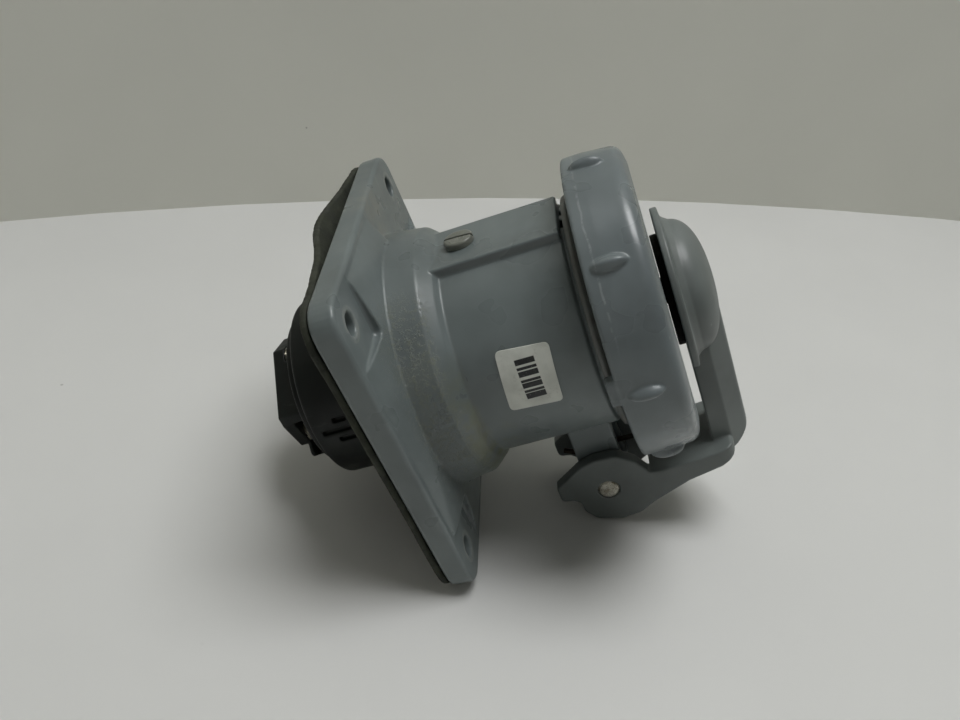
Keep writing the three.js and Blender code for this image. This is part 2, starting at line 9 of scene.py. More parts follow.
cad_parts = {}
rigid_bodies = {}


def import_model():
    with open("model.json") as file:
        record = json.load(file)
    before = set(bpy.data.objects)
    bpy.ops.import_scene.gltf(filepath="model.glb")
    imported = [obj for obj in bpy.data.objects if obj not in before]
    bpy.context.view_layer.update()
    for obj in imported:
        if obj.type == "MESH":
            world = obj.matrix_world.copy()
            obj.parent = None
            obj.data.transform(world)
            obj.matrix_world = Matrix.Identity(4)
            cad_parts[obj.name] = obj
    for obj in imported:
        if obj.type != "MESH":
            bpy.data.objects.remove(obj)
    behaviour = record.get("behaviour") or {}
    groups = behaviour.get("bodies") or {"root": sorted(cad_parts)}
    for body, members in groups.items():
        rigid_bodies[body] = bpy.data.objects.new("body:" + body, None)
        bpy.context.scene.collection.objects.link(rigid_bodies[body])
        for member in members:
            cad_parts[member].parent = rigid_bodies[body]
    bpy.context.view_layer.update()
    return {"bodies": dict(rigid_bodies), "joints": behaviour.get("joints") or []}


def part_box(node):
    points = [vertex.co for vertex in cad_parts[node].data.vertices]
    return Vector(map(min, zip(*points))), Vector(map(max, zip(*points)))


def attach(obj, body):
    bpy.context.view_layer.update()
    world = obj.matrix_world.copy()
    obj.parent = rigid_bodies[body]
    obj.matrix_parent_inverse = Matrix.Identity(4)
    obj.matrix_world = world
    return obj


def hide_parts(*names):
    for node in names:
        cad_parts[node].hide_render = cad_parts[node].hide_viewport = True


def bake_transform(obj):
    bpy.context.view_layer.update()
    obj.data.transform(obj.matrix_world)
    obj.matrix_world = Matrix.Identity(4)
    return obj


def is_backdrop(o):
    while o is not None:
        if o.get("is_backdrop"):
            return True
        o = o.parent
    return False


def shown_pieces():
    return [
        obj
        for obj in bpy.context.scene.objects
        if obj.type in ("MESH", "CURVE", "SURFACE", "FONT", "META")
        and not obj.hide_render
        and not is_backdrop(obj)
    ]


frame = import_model()

# Looks for a pin-and-sleeve power inlet. Shapes are built in millimetres and scaled to metres at the end.
# "out" runs forward from the flange's back face, towards the mouth, so it is -Y.

MM = 0.001
SCENE = bpy.context.scene
HOUSING_LOW, HOUSING_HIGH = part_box("housing")
FLANGE_HALF = (HOUSING_HIGH.x - HOUSING_LOW.x) / 2 / MM
ORIGIN = Vector((0, HOUSING_HIGH.y, HOUSING_HIGH.z - FLANGE_HALF * MM))   # middle of the flange's back face
HINGE = Vector(next(j for j in frame["joints"] if j["name"] == "arm_hinge")["pos_m"]) - ORIGIN
PIN_OUT, PIN_Z = -HINGE.y / MM, HINGE.z / MM


def extent(node):
    """Lowest and highest corner of a CAD node in millimetres, as (x, out, z) ranges."""
    low, high = (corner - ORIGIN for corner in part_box(node))
    return (low.x / MM, high.x / MM), (-high.y / MM, -low.y / MM), (low.z / MM, high.z / MM)


# ------------------------------------------------------------------------------------------ mesh code

def outline(corners, steps=8):
    """A closed outline whose corners are (u, v, fillet); the fillet is 0 where it is left out."""
    points = []
    count = len(corners)
    for i, corner in enumerate(corners):
        at = Vector(corner[:2])
        fillet = corner[2] if len(corner) > 2 else 0
        before = (Vector(corners[i - 1][:2]) - at).normalized()
        after = (Vector(corners[(i + 1) % count][:2]) - at).normalized()
        if fillet <= 0:
            points.append(at)
            continue
        half = math.acos(max(-1, min(1, before.dot(after)))) / 2
        cut = fillet / math.tan(half)
        start, end = at + before * cut, at + after * cut
        for step in range(steps + 1):
            t = step / steps
            points.append(start * (1 - t) ** 2 + at * 2 * t * (1 - t) + end * t * t)
    kept = []
    for point in points:
        if not kept or (point - kept[-1]).length > 1e-4:
            kept.append(point)
    if (kept[0] - kept[-1]).length < 1e-4:
        kept.pop()
    return kept


def rectangle(u0, u1, v0, v1, fillet=0):
    return outline([(u0, v0, fillet), (u1, v0, fillet), (u1, v1, fillet), (u0, v1, fillet)])


def keep(bm, name):
    """Closes a bmesh into a named object, normals outwards."""
    bmesh.ops.recalc_face_normals(bm, faces=bm.faces)
    mesh = bpy.data.meshes.new(name)
    bm.to_mesh(mesh)
    bm.free()
    obj = bpy.data.objects.new(name, mesh)
    SCENE.collection.objects.link(obj)
    return obj


def lathe(corners, facets=144, steps=6):
    """A closed solid turned about Y from (radius, out, fillet) corners."""
    profile = outline(corners, steps)
    bm = bmesh.new()
    rings = []
    for radius, out in profile:
        if radius < 1e-4:
            rings.append([bm.verts.new((0, -out, 0))])
        else:
            rings.append([
                bm.verts.new((
                    radius * math.sin(math.tau * k / facets), -out,
                    radius * math.cos(math.tau * k / facets)))
                for k in range(facets)
            ])
    for ring, other in zip(rings, rings[1:] + rings[:1]):
        if len(ring) == 1 and len(other) == 1:
            continue
        for k in range(facets):
            n = (k + 1) % facets
            corner = [ring[k % len(ring)], ring[n % len(ring)], other[n % len(other)], other[k % len(other)]]
            bm.faces.new(list(dict.fromkeys(corner)))
    return keep(bm, "turned")


def prism(shape, low, high, place, edge=0):
    """Extrudes an outline between two heights, its ends eased by edge; place(u, v, w) gives (x, y, z)."""
    bm = bmesh.new()
    count = len(shape)
    centre = sum(shape, Vector((0, 0))) / count
    area = sum(a.x * b.y - a.y * b.x for a, b in zip(shape, shape[1:] + shape[:1])) / 2
    normals = []
    for i in range(count):
        along = shape[(i + 1) % count] - shape[i - 1]
        turn = Vector((along.y, -along.x)).normalized()
        normals.append(turn if area > 0 else -turn)
    layers = [(low, 0), (high, 0)]
    if edge:
        layers = []
        for k in range(4):
            a = math.pi / 6 * k
            layers.append((low + edge * (1 - math.sin(a)), edge * (1 - math.cos(a))))
        layers = layers[::-1] + [(high - (h - low), inset) for h, inset in layers]
    rings = [
        [bm.verts.new(place(*(p - n * inset), w)) for p, n in zip(shape, normals)]
        for w, inset in layers
    ]
    for ring, other in zip(rings, rings[1:]):
        for k in range(count):
            n = (k + 1) % count
            bm.faces.new((ring[k], ring[n], other[n], other[k]))
    bm.faces.new(rings[0])
    bm.faces.new(rings[-1][::-1])
    return keep(bm, "prism")


def forward(shape, low, high, edge=0):
    """Extrudes an (x, z) outline between two distances out."""
    return prism(shape, low, high, lambda u, v, w: (u, -w, v), edge)


def sideways(shape, low, high, edge=0):
    """Extrudes an (out, z) outline between two values of X."""
    return prism(shape, low, high, lambda u, v, w: (w, -u, v), edge)


def upwards(shape, low, high, edge=0):
    """Extrudes an (x, out) outline between two heights."""
    return prism(shape, low, high, lambda u, v, w: (u, -v, w), edge)


def bar(radius, low, high, at=(0, 0), facets=64):
    """A round bar along Y, about (x, z)."""
    made = lathe([(0, low), (radius, low), (radius, high), (0, high)], facets)
    return moved(made, Matrix.Translation((at[0], 0, at[1])))


def cross_bar(radius, low, high, out, z, facets=96):
    """A round bar along X, about (out, z)."""
    made = lathe([(0, -high), (radius, -high), (radius, -low), (0, -low)], facets)
    return moved(made, Matrix.Translation((0, -out, z)) @ Matrix.Rotation(-math.pi / 2, 4, "Z"))


def upright_bar(radius, low, high, out, facets=64):
    """A round bar along Z, on the centre plane."""
    made = lathe([(0, low), (radius, low), (radius, high), (0, high)], facets)
    return moved(made, Matrix.Translation((0, -out, 0)) @ Matrix.Rotation(-math.pi / 2, 4, "X"))


def moved(obj, matrix):
    obj.data.transform(matrix)
    if matrix.determinant() < 0:
        obj.data.flip_normals()
    return obj


def spun(obj, degrees):
    """Turned about Y, clockwise as seen from in front."""
    return moved(obj, Matrix.Rotation(math.radians(degrees), 4, "Y"))


def applied(obj):
    """Bakes an object's modifiers into its mesh."""
    graph = bpy.context.evaluated_depsgraph_get()
    mesh = bpy.data.meshes.new_from_object(obj.evaluated_get(graph), depsgraph=graph)
    obj.modifiers.clear()
    old = obj.data
    obj.data = mesh
    bpy.data.meshes.remove(old)
    return obj


def combined(obj, operation, others):
    for other in others:
        step = obj.modifiers.new("step", "BOOLEAN")
        step.operation = operation
        step.solver = "MANIFOLD"
        step.object = other
        applied(obj)
        bpy.data.objects.remove(other)
    return obj


def union(first, *others):
    return combined(first, "UNION", others)


def without(first, *others):
    return combined(first, "DIFFERENCE", others)


def common(first, *others):
    return combined(first, "INTERSECT", others)


def settled(obj, exact, near, far):
    """Draws every vertex closer than far to the exact surface on to it, wholly so when closer than near."""
    for vertex in obj.data.vertices:
        point, _, _, distance = exact.find_nearest(vertex.co)
        if distance < far:
            t = 1 - max(0.0, (distance - near) / (far - near))
            vertex.co = vertex.co.lerp(point, t * t * (3 - 2 * t))


def smoothed(obj, rounds):
    step = obj.modifiers.new("smooth", "SMOOTH")
    step.factor = 0.5
    step.iterations = rounds
    return obj


def cast(obj, voxel, rounds):
    """Rounds every edge and inner corner as a casting's are, and leaves flats and turned faces true."""
    body = bmesh.new()
    body.from_mesh(obj.data)
    exact = BVHTree.FromBMesh(body)
    body.free()
    step = obj.modifiers.new("fine", "REMESH")
    step.mode = "VOXEL"
    step.voxel_size = voxel
    step.adaptivity = 0
    applied(smoothed(obj, rounds))
    settled(obj, exact, voxel * 0.22, voxel * 0.75)
    applied(smoothed(obj, 2))
    settled(obj, exact, voxel * 0.12, voxel * 0.3)
    obj.data.shade_smooth()
    return obj


def hull(*parts):
    """The convex hull of some solids, as one new solid."""
    bm = bmesh.new()
    for part in parts:
        bm.from_mesh(part.data)
        bpy.data.objects.remove(part)
    found = bmesh.ops.convex_hull(bm, input=bm.verts)
    spare = [e for e in found["geom_interior"] + found["geom_unused"] if isinstance(e, bmesh.types.BMVert)]
    bmesh.ops.delete(bm, geom=list(set(spare)), context="VERTS")
    kept = {f for f in found["geom"] if isinstance(f, bmesh.types.BMFace)}
    bmesh.ops.delete(bm, geom=[f for f in bm.faces if f not in kept], context="FACES_ONLY")
    return keep(bm, "hull")


def bevelled(obj, width, segments=3, angle=35):
    """Eases the sharp edges of a machined or moulded piece and keeps its flats flat."""
    step = obj.modifiers.new("ease", "BEVEL")
    step.width = width
    step.segments = segments
    step.limit_method = "ANGLE"
    step.angle_limit = math.radians(angle)
    step.harden_normals = True
    applied(obj)
    obj.data.shade_smooth()
    obj.data.set_sharp_from_angle(angle=math.radians(angle))
    return obj


def finished(obj, name, body, node, material):
    """Scales a piece to metres, names it, and puts it on its body in place of its CAD node."""
    obj.data.transform(Matrix.Translation(ORIGIN) @ Matrix.Scale(MM, 4))
    obj.name = name
    obj.data.name = name
    obj.data.materials.clear()
    obj.data.materials.append(material)
    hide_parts(node)
    if body:
        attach(obj, body)
    return obj


# ---------------------------------------------------------------------------------------- materials

HOLE_AT, HOLE_RADIUS = 41.3, 3.1
FLANGE_THICK = 7.5
CAP_RADIUS = 45
SEAM_OUT = 67.6


class Look:
    """A node-based material: each method adds a node and returns its output."""

    def __init__(self, name):
        self.material = bpy.data.materials.new(name)
        self.material.use_nodes = True
        self.tree = self.material.node_tree
        self.shader = self.tree.nodes["Principled BSDF"]
        where = self.add("ShaderNodeTexCoord").outputs["Object"]
        self.mm = self.vector("SCALE", self.vector("SUBTRACT", where, ORIGIN), scale=1 / MM)
        split = self.add("ShaderNodeSeparateXYZ")
        self.link(self.mm, split.inputs[0])
        self.x, self.y, self.z = split.outputs
        self.out = self.sum("MULTIPLY", self.y, -1)
        self.point = self.add("ShaderNodeNewGeometry").outputs["Pointiness"]

    def add(self, kind, **settings):
        node = self.tree.nodes.new(kind)
        for key, value in settings.items():
            setattr(node, key, value)
        return node

    def link(self, value, socket):
        if isinstance(value, bpy.types.NodeSocket):
            self.tree.links.new(value, socket)
        elif value is not None:
            socket.default_value = value

    def sum(self, operation, a, b=None, clamp=False):
        node = self.add("ShaderNodeMath", operation=operation, use_clamp=clamp)
        self.link(a, node.inputs[0])
        if b is not None:
            self.link(b, node.inputs[1])
        return node.outputs[0]

    def vector(self, operation, a, b=None, scale=None):
        node = self.add("ShaderNodeVectorMath", operation=operation)
        self.link(a, node.inputs[0])
        if b is not None:
            self.link(b, node.inputs[1])
        if scale is not None:
            node.inputs["Scale"].default_value = scale
        return node.outputs["Value" if operation in ("LENGTH", "DISTANCE") else "Vector"]

    def grain(self, size, detail=3, rough=0.5, stretch=None):
        """Noise from 0 to 1, its features about size millimetres across."""
        node = self.add("ShaderNodeTexNoise")
        source = self.mm if stretch is None else self.vector("MULTIPLY", self.mm, stretch)
        self.link(source, node.inputs["Vector"])
        node.inputs["Scale"].default_value = 1 / size
        node.inputs["Detail"].default_value = detail
        node.inputs["Roughness"].default_value = rough
        node.inputs["Distortion"].default_value = 0
        return node.outputs["Fac"]

    def cells(self, size):
        node = self.add("ShaderNodeTexVoronoi")
        self.link(self.mm, node.inputs["Vector"])
        node.inputs["Scale"].default_value = 1 / size
        node.inputs["Randomness"].default_value = 1
        return node.outputs["Distance"]

    def fade(self, value, low, high, to_low=0.0, to_high=1.0):
        """Maps value from low..high to to_low..to_high with soft ends."""
        node = self.add("ShaderNodeMapRange", interpolation_type="SMOOTHSTEP")
        for socket, number in zip(node.inputs, (value, low, high, to_low, to_high)):
            self.link(number, socket)
        return node.outputs[0]

    def band(self, value, centre, half, soft):
        """1 within half of centre, falling to 0 over soft."""
        off = self.sum("ABSOLUTE", self.sum("SUBTRACT", value, centre))
        return self.fade(off, half, half + soft, 1, 0)

    def times(self, *values):
        whole = values[0]
        for value in values[1:]:
            whole = self.sum("MULTIPLY", whole, value)
        return whole

    def near(self, point, radius, soft):
        """1 within radius of a point in millimetres."""
        far = self.vector("DISTANCE", self.mm, point)
        return self.fade(far, radius, radius + soft, 1, 0)

    def mix(self, amount, a, b):
        node = self.add("ShaderNodeMix", data_type="RGBA")
        self.link(amount, node.inputs["Factor"])
        for value, socket in ((a, node.inputs[6]), (b, node.inputs[7])):
            self.link(value if isinstance(value, bpy.types.NodeSocket) else (*value, 1), socket)
        return node.outputs[2]

    def bump(self, height, strength, distance, under=None):
        node = self.add("ShaderNodeBump")
        node.inputs["Strength"].default_value = strength
        node.inputs["Distance"].default_value = distance * MM
        self.link(height, node.inputs["Height"])
        if under is not None:
            self.link(under, node.inputs["Normal"])
        return node.outputs[0]

    def done(self, colour, roughness, normal=None, metallic=0.0, **others):
        self.link(colour if isinstance(colour, bpy.types.NodeSocket) else (*colour, 1),
                  self.shader.inputs["Base Color"])
        self.link(roughness, self.shader.inputs["Roughness"])
        self.link(metallic, self.shader.inputs["Metallic"])
        if normal is not None:
            self.link(normal, self.shader.inputs["Normal"])
        for key, value in others.items():
            self.link(value, self.shader.inputs[key.replace("_", " ")])
        return self.material


def srgb(r, g, b):
    """Linear colour from 0-255 display values."""
    return tuple(((c / 255 + 0.055) / 1.055) ** 2.4 if c > 10 else c / 255 / 12.92 for c in (r, g, b))


def paint(name, base, stained=False, seam_highlit=False, rough=(0.27, 0.44)):
    """Semi-gloss grey enamel: mottled, lumpy, rubbed thin on its edges, with painted shade darkening its
    corners.
    """
    look = Look(name)
    light = [c * 1.14 for c in base]
    dark = [c * 0.82 for c in base]
    tone = look.mix(look.fade(look.grain(26, 3), 0.30, 0.70), dark, light)
    tone = look.mix(look.fade(look.grain(5, 4, 0.6), 0.35, 0.75, 0, 0.35), tone, [c * 1.05 for c in base])
    # painted shade: darkens the paint in concave corners and creases, broken up by noise; the same mask also
    # makes those corners rougher
    corner_shade = look.fade(look.point, 0.36, 0.46, 1, 0)
    corner_shade = look.times(corner_shade, look.fade(look.grain(7, 4), 0.25, 0.65))
    tone = look.mix(look.times(corner_shade, 0.45), tone, srgb(50, 51, 44))
    edge = look.fade(look.point, 0.55, 0.66)
    worn = look.times(edge, look.fade(look.grain(4, 5, 0.65), 0.42, 0.62))
    tone = look.mix(look.times(worn, 0.5), tone, srgb(150, 154, 151))
    dull = look.fade(look.grain(14, 2), 0.30, 0.80)
    if stained:
        stain = stain_masks(look)
        for amount, colour in stain["colours"]:
            tone = look.mix(amount, tone, colour)
        dull = look.sum("MAXIMUM", dull, stain["dull"])
    if seam_highlit:
        # the parting seam's pale line, drawn only on the upper skirt: partly the seam's real pale paint ridge
        # and partly a painted highlight where light catches it
        wander = look.sum("ADD", look.out, look.fade(look.grain(6, 3), 0.2, 0.8, -0.35, 0.35))
        line = look.band(wander, SEAM_OUT, 0.12, 0.3)
        broken = look.fade(look.grain(2.2, 4, 0.7), 0.38, 0.55)
        radius = look.vector("LENGTH", look.vector("MULTIPLY", look.mm, (1, 0, 1)))
        on_skirt = look.fade(radius, CAP_RADIUS - 1.5, CAP_RADIUS - 0.8)
        seam_highlight = look.times(line, broken, on_skirt, look.fade(look.z, 8, 26))
        tone = look.mix(look.times(seam_highlight, 0.4), tone, srgb(160, 165, 164))
    roughness = look.fade(dull, 0, 1, *rough)
    roughness = look.sum("ADD", roughness, look.times(corner_shade, 0.25))
    roughness = look.sum("ADD", roughness, look.times(worn, 0.12), clamp=True)
    lumps = look.bump(look.grain(11, 2), 0.30, 0.45)
    peel = look.bump(look.grain(1.3, 2), 0.14, 0.10, lumps)
    if stained:
        peel = look.bump(stain["crust"], 0.5, 0.18, peel)
    return look.done(tone, roughness, peel, Coat_Weight=0.12, Coat_Roughness=0.2, Specular_IOR_Level=0.5)


def stain_masks(look):
    """Where the housing's paint is stained, scuffed or creased, in (x, out, z) millimetres."""
    side = look.sum("ARCTAN2", look.sum("MULTIPLY", look.x, -1), look.z)
    radius = look.sum("SQRT", look.sum("ADD", look.sum("POWER", look.x, 2), look.sum("POWER", look.z, 2)))
    lower = look.fade(side, 0.9, 1.7)
    ring_foot = look.band(look.out, 22.6, 1.2, 2.6)
    seep = look.times(ring_foot, lower, look.fade(look.grain(6, 4, 0.6), 0.30, 0.62))
    drip = look.times(look.band(look.out, 27, 3, 6), look.fade(side, 1.6, 2.1),
                      look.fade(look.grain(5, 4, 0.6), 0.42, 0.7))
    ring = look.times(look.band(look.out, 15.5, 4.0, 3.0), look.band(side, 1.55, 0.75, 0.4))
    patch = look.times(ring, look.fade(look.grain(8, 5, 0.7), 0.44, 0.60))
    crust = look.times(ring, look.fade(look.grain(1.4, 5, 0.8), 0.50, 0.60))
    rings = []
    for sx, sz in ((-1, 1), (1, 1), (-1, -1), (1, -1)):
        bolt = (sx * HOLE_AT, 0, sz * HOLE_AT)
        far = look.vector("DISTANCE", look.vector("MULTIPLY", look.mm, (1, 0, 1)), bolt)
        on_pad = look.fade(look.out, FLANGE_THICK - 2, FLANGE_THICK - 0.7)
        rings.append(look.times(look.band(far, HOLE_RADIUS + 1, 0.6, 0.5), on_pad))
    washer = rings[0]
    for other in rings[1:]:
        washer = look.sum("MAXIMUM", washer, other)
    washer = look.times(washer, look.fade(look.grain(3, 3), 0.30, 0.55))
    rubbed = look.near((14, -9, 44), 5.0, 8.0)
    rubbed = look.times(rubbed, look.fade(look.grain(3, 3), 0.3, 0.6))
    collar = look.times(look.fade(look.out, 60.9, 61.4), look.fade(radius, 30.6, 31.2))
    bare = look.times(collar, look.fade(look.grain(8, 3), 0.30, 0.70, 0.55, 1.0))
    bore = look.fade(radius, 31.4, 30.4)
    return {
        "colours": [
            (look.times(seep, 0.42), srgb(112, 112, 66)),
            (look.times(drip, 0.35), srgb(108, 108, 74)),
            (look.times(patch, 0.22), srgb(108, 112, 98)),
            (look.times(crust, 0.34), srgb(122, 124, 100)),
            (look.times(washer, 0.5), srgb(140, 143, 138)),
            (look.times(rubbed, 0.35), srgb(132, 128, 116)),
            (look.times(bare, 0.75), srgb(84, 80, 72)),
            (look.times(bore, 0.4), srgb(120, 122, 120)),
        ],
        "dull": look.sum("MAXIMUM", look.sum("MAXIMUM", patch, seep), bare),
        "crust": look.sum("MAXIMUM", crust, look.times(seep, 0.5)),
    }


def moulding(name):
    """Near-black phenolic with a faint green cast, scuffed along its edges and dusty in its corners."""
    look = Look(name)
    tone = look.mix(look.fade(look.grain(12, 4), 0.3, 0.7), srgb(7, 11, 9), srgb(14, 20, 17))
    scuffs = look.fade(look.grain(3, 5, 0.7, (1, 0.2, 1)), 0.60, 0.72)
    tone = look.mix(look.times(scuffs, 0.22), tone, srgb(70, 78, 74))
    worn = look.times(look.fade(look.point, 0.53, 0.62), look.fade(look.grain(3, 4), 0.38, 0.62))
    tone = look.mix(look.times(worn, 0.45), tone, srgb(96, 106, 102))
    dust = look.times(look.fade(look.point, 0.40, 0.49, 1, 0), look.fade(look.grain(5, 4), 0.4, 0.6))
    tone = look.mix(look.times(dust, 0.35), tone, srgb(70, 66, 56))
    rough = look.fade(look.grain(7, 4), 0.3, 0.7, 0.38, 0.56)
    bump = look.bump(look.grain(0.7, 3), 0.22, 0.08, look.bump(look.grain(9, 2), 0.3, 0.3))
    return look.done(tone, rough, bump, Specular_IOR_Level=0.32)


def metal(name, dark, light, rough=(0.22, 0.42), *, tarnish):
    """Metal with fine marks, patchy tarnish and painted shade in its hollows."""
    look = Look(name)
    tone = look.mix(look.fade(look.grain(3, 4), 0.3, 0.7), dark, light)
    marks = look.grain(0.5, 4, 0.6, (1, 1, 1))
    amount = look.fade(look.grain(4, 5, 0.65), 0.46, 0.64, 0, 0.7)
    tone = look.mix(amount, tone, tarnish)
    # painted shade: darkens the metal in its concave hollows
    hollow_shade = look.fade(look.point, 0.42, 0.49, 1, 0)
    tone = look.mix(look.times(hollow_shade, 0.6), tone, srgb(48, 44, 38))
    roughness = look.fade(marks, 0.3, 0.7, *rough)
    bump = look.bump(marks, 0.25, 0.05)
    return look.done(tone, roughness, bump, metallic=0.92)


def rubbery(name, dark, light, size=1.2):
    """Matt sheet material with pressed-in fibres and crumbling edges."""
    look = Look(name)
    tone = look.mix(look.fade(look.grain(size * 6, 4), 0.3, 0.7), dark, light)
    crumbs = look.fade(look.cells(size), 0.1, 0.5)
    tone = look.mix(look.times(crumbs, 0.25), tone, [c * 1.6 for c in light])
    worn = look.times(look.fade(look.point, 0.52, 0.60), look.fade(look.grain(2.5, 4), 0.4, 0.6))
    tone = look.mix(look.times(worn, 0.5), tone, [c * 2.2 for c in light])
    bump = look.bump(look.grain(size, 4, 0.7), 0.6, 0.25)
    return look.done(tone, look.fade(look.grain(4, 3), 0.3, 0.7, 0.72, 0.92), bump)


LABEL_BARS = ((-5.4, 0.75), (-3.5, 0.35), (-1.9, 0.75), (0.2, 0.35), (1.6, 0.75), (3.4, 0.35), (5.0, 0.9))


def sticker(name, middle_out, middle_z, radius):
    """Off-white gloss film with a block of plain dark bars, faint creases and a grubby edge."""
    look = Look(name)
    arc = look.sum("MULTIPLY", look.sum("ARCTAN2", look.sum("MULTIPLY", look.x, -1), look.z), radius)
    along = look.sum("SUBTRACT", arc, (math.pi / 2 - math.asin(middle_z / radius)) * radius)
    across = look.sum("SUBTRACT", look.out, middle_out)
    tone = look.mix(look.fade(look.grain(6, 3), 0.3, 0.7), srgb(196, 198, 190), srgb(216, 218, 210))
    bars = None
    for centre, half in LABEL_BARS:
        one = look.band(along, centre, half, 0.12)
        bars = one if bars is None else look.sum("MAXIMUM", bars, one)
    ink = look.fade(look.grain(0.5, 3), 0.2, 0.4, 0.8, 1)
    bars = look.times(bars, look.band(across, 0.4, 2.7, 0.12), ink)
    tone = look.mix(bars, tone, srgb(24, 26, 28))
    smudge = look.fade(look.grain(2.5, 5, 0.7), 0.58, 0.72)
    tone = look.mix(look.times(smudge, 0.22), tone, srgb(120, 118, 104))
    bump = look.bump(look.grain(5, 2), 0.25, 0.2)
    return look.done(tone, look.fade(look.grain(4, 3), 0.3, 0.7, 0.28, 0.5), bump)


GREY = srgb(104, 112, 112)
cast_paint = paint("cast_paint", GREY, stained=True)
cap_paint = paint("cap_paint", srgb(106, 114, 116), seam_highlit=True)
arm_paint = paint("arm_paint", srgb(99, 105, 103), rough=(0.44, 0.58))
phenolic = moulding("phenolic")
cork = rubbery("gasket_cork", srgb(25, 28, 22), srgb(46, 49, 38))
neoprene = rubbery("neoprene", srgb(20, 20, 20), srgb(34, 34, 33), 0.8)
silvered = metal("contact_plated", srgb(188, 186, 172), srgb(226, 224, 212), tarnish=srgb(150, 142, 118))
plated = metal("plated_steel", srgb(176, 172, 158), srgb(214, 211, 200), tarnish=srgb(132, 122, 100))
# near-black metal for the stud retainer: a real part, but its darkness is painted shade standing in for the
# shaded gap between the cap and the dome
gap_shade_metal = metal("gap_shade_steel", srgb(15, 16, 16), srgb(26, 27, 26), (0.5, 0.65), tarnish=srgb(34, 30, 26))
spring_steel = metal(
    "spring_steel", srgb(42, 38, 34), srgb(70, 64, 58), (0.35, 0.55), tarnish=srgb(70, 48, 34))


# ------------------------------------------------------------------------------------------ housing

BODY_RADIUS, BODY_END = 33.3, 60.0
COLLAR_RADIUS, COLLAR_ROOT = 35.2, 31.3
RING_OUT, RING_FRONT = 39.8, 38.5
BOSS_HALF, BOSS_FOOT, BOSS_TOP, BOSS_OUT = 48.5, 7.3, 40.2, 10.4
INSULATOR_RADIUS, SPIGOT_RADIUS, SOCKET_RADIUS = 28, 31.3, 29.5
RAIL_HALF, RAIL_TOP = 11.6, 34
PAD_INNER = 30.5
MOUTH_FRONT = extent("housing")[1][1]
SCREW_OUT = sum(extent("rail_screw")[1]) / 2
FAR = 200


def quarter_signs():
    return ((1, 1), (-1, 1), (-1, -1), (1, -1))


def housing():
    half = FLANGE_HALF
    plate = forward(rectangle(-half, half, -half, half, 9), 0.1, FLANGE_THICK, 1.3)
    foot = forward(rectangle(-BOSS_HALF, BOSS_HALF, -BOSS_HALF, BOSS_HALF, 12), 1, BOSS_FOOT)
    boss = hull(foot, bar(BOSS_TOP, 1, BOSS_OUT, facets=240))
    body = lathe([
        (0, 2), (RING_OUT, 2), (RING_OUT, 10.8, 0.6), (RING_FRONT, 19.4, 1.4), (35.2, 23.2, 0.8),
        (BODY_RADIUS, 24.5, 0.5), (BODY_RADIUS, BODY_END, 1.0), (COLLAR_ROOT, BODY_END + 0.2),
        (COLLAR_ROOT, 61.1), (34.7, 61.2, 0.3), (COLLAR_RADIUS, 62.4, 0.4), (34.6, 63.6, 0.3), (34.2, 64.4),
        (COLLAR_RADIUS, 65), (COLLAR_RADIUS, 70.8), (34, MOUTH_FRONT), (0, MOUTH_FRONT),
    ], 480)
    rail = sideways(rectangle(21, BODY_END - 0.2, 25, RAIL_TOP), -RAIL_HALF, RAIL_HALF, 0.5)
    lugs = []
    root = -BODY_RADIUS + 3
    eye = outline([
        (PIN_OUT - 6.9, root), (PIN_OUT + 6.9, root), (PIN_OUT + 6.9, PIN_Z + 9, 3),
        (PIN_OUT + 7.6, PIN_Z, 3), (PIN_OUT + 7.6, PIN_Z - 7.6, 6.2), (PIN_OUT - 7.6, PIN_Z - 7.6, 6.2),
        (PIN_OUT - 7.6, PIN_Z, 3), (PIN_OUT - 6.9, PIN_Z + 9, 3)])
    for low in (4.6, -9.0):
        lugs.append(sideways(eye, low, low + 4.4, 0.3))
    web = sideways(rectangle(PIN_OUT - 6.9, PIN_OUT - 3.9, -45, root), -5.6, 5.6)
    whole = union(plate, boss, body, rail, *lugs, web)
    cuts = []
    far = half + 10
    for sx, sz in quarter_signs():
        seat = forward(rectangle(PAD_INNER, far, PAD_INNER, far, 2), FLANGE_THICK - 0.1, 24.2)
        cuts.append(moved(seat, Matrix.Diagonal((sx, 1, sz, 1))))
        cuts.append(bar(HOLE_RADIUS, -5, FAR, (sx * HOLE_AT, sz * HOLE_AT)))
    flat = outline([(4.4, far), (5.4, 47, 2), (4.8, 30), (PAD_INNER, 20), (far, 32), (far, far)])
    ring = bar(RING_OUT + 0.1, 0, 60, facets=360)
    cuts.append(without(forward(flat, FLANGE_THICK - 0.05, 24.2), ring))
    cuts.append(bar(INSULATOR_RADIUS + 0.3, -5, FAR, facets=240))
    cuts.append(bar(SPIGOT_RADIUS, -5, 4.3, facets=240))
    cuts.append(bar(SOCKET_RADIUS, 36, FAR, facets=240))
    cuts.append(sideways(rectangle(36, FAR, 20, 31.4), -5, 5))
    cuts.append(upright_bar(2.5, 20, FAR, SCREW_OUT))
    cuts.append(cross_bar(3.52, -FAR, FAR, PIN_OUT, PIN_Z))
    without(whole, *cuts)
    cast(whole, 0.5, 3)
    return finished(whole, "housing_shell", "housing_body", "housing", cast_paint)


